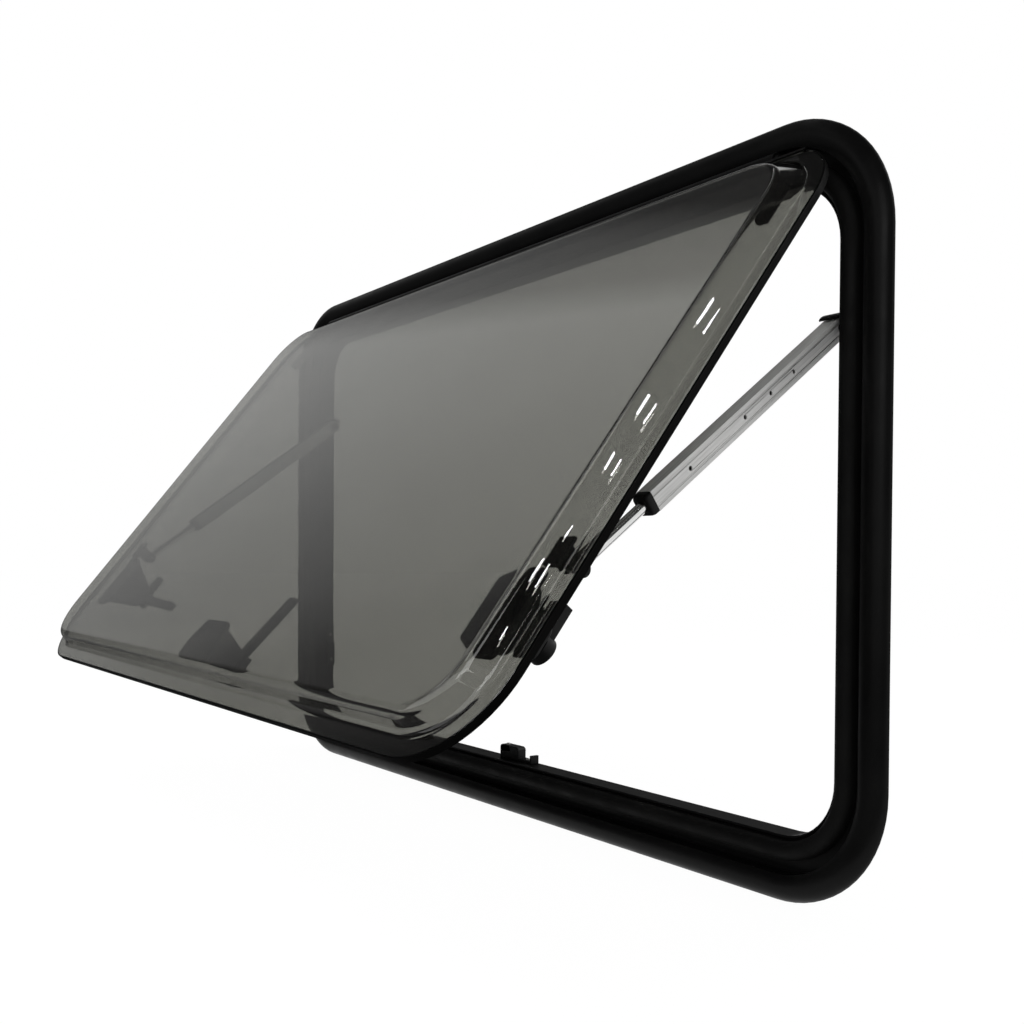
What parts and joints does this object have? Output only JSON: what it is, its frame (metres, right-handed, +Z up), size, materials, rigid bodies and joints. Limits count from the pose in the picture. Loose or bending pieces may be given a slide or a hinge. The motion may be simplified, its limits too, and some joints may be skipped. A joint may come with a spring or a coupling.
{
  "type": "caravan window",
  "caption": "Top-hung caravan window: black bent frame, raised smoke-grey acrylic sash held open by telescopic stays, with turning latches.",
  "frame": {"origin": "on the flange's flat back face, in the middle of the bottom rail", "axes": "+X to the right seen from outside, +Y into the vehicle, +Z up"},
  "size_m": [0.936, 0.3665, 0.586],
  "materials": {
    "frame_black": "satin black coating",
    "seal_rubber": "matt black rubber",
    "smoke_acrylic": "smoke grey clear acrylic",
    "trim_black": "black edge strip",
    "hinge_black": "satin black coating",
    "bracket_black": "moulded black plastic",
    "latch_black": "moulded black plastic, fine grain",
    "stay_aluminium": "bright drawn aluminium",
    "rod_steel": "polished steel"
  },
  "bodies": {
    "frame": {"outer_frame": "frame_black", "frame_seal": "seal_rubber", "hinge_socket_rail": "hinge_black", "left_stay_bracket": "bracket_black", "right_stay_bracket": "bracket_black", "left_keeper": "bracket_black", "right_keeper": "bracket_black", "bottom_keeper": "bracket_black"},
    "sash": {"outer_pane": "smoke_acrylic", "inner_pane": "smoke_acrylic", "edge_trim": "trim_black", "sash_hinge_rail": "hinge_black", "left_hinge_end_cap": "bracket_black", "right_hinge_end_cap": "bracket_black", "left_corner_block": "bracket_black", "right_corner_block": "bracket_black", "left_latch_base": "latch_black", "right_latch_base": "latch_black", "bottom_latch_base": "latch_black", "left_sash_bracket": "bracket_black", "right_sash_bracket": "bracket_black"},
    "left_stay": {"left_stay_tube": "stay_aluminium", "left_stay_collar": "bracket_black"},
    "right_stay": {"right_stay_tube": "stay_aluminium", "right_stay_collar": "bracket_black"},
    "left_rod": {"left_stay_rod": "rod_steel"},
    "right_rod": {"right_stay_rod": "rod_steel"},
    "left_lever": {"left_latch_lever": "latch_black"},
    "right_lever": {"right_latch_lever": "latch_black"},
    "bottom_lever": {"bottom_latch_lever": "latch_black"}
  },
  "joints": [
    {"name": "sash_hinge", "type": "hinge", "parent": "frame", "child": "sash", "pos_m": [0, -0.0082, 0.5504], "axis": [-1, 0, 0], "range_deg": [-38.5, 0]},
    {"name": "right_stay_swing", "type": "hinge", "parent": "frame", "child": "right_stay", "pos_m": [0.406, 0.015, 0.42], "axis": [-1, 0, 0], "range_deg": [-53.03, 0]},
    {"name": "right_rod_slide", "type": "slide", "parent": "right_stay", "child": "right_rod", "axis": [0, -0.8092, -0.5875], "range_m": [-0.05384, 0]},
    {"name": "left_stay_swing", "type": "hinge", "parent": "frame", "child": "left_stay", "pos_m": [-0.406, 0.015, 0.42], "axis": [-1, 0, 0], "range_deg": [-53.03, 0]},
    {"name": "left_rod_slide", "type": "slide", "parent": "left_stay", "child": "left_rod", "axis": [0, -0.8092, -0.5875], "range_m": [-0.05384, 0]},
    {"name": "right_latch_turn", "type": "hinge", "parent": "sash", "child": "right_lever", "pos_m": [0.385, -0.27003, 0.21689], "axis": [0, -0.7826, 0.6225], "range_deg": [-90, 0]},
    {"name": "left_latch_turn", "type": "hinge", "parent": "sash", "child": "left_lever", "pos_m": [-0.385, -0.27003, 0.21689], "axis": [0, 0.7826, -0.6225], "range_deg": [-90, 0]},
    {"name": "bottom_latch_turn", "type": "hinge", "parent": "sash", "child": "bottom_lever", "pos_m": [-0.014, -0.30421, 0.17393], "axis": [0, -0.7826, 0.6225], "range_deg": [-90, 0]}
  ],
  "couplings": [
    {"joint": "right_stay_swing", "follows": "sash_hinge", "ratio": 1.376},
    {"joint": "right_rod_slide", "follows": "sash_hinge", "m_per_rad": 0.07997},
    {"joint": "left_stay_swing", "follows": "sash_hinge", "ratio": 1.376},
    {"joint": "left_rod_slide", "follows": "sash_hinge", "m_per_rad": 0.07997}
  ]
}
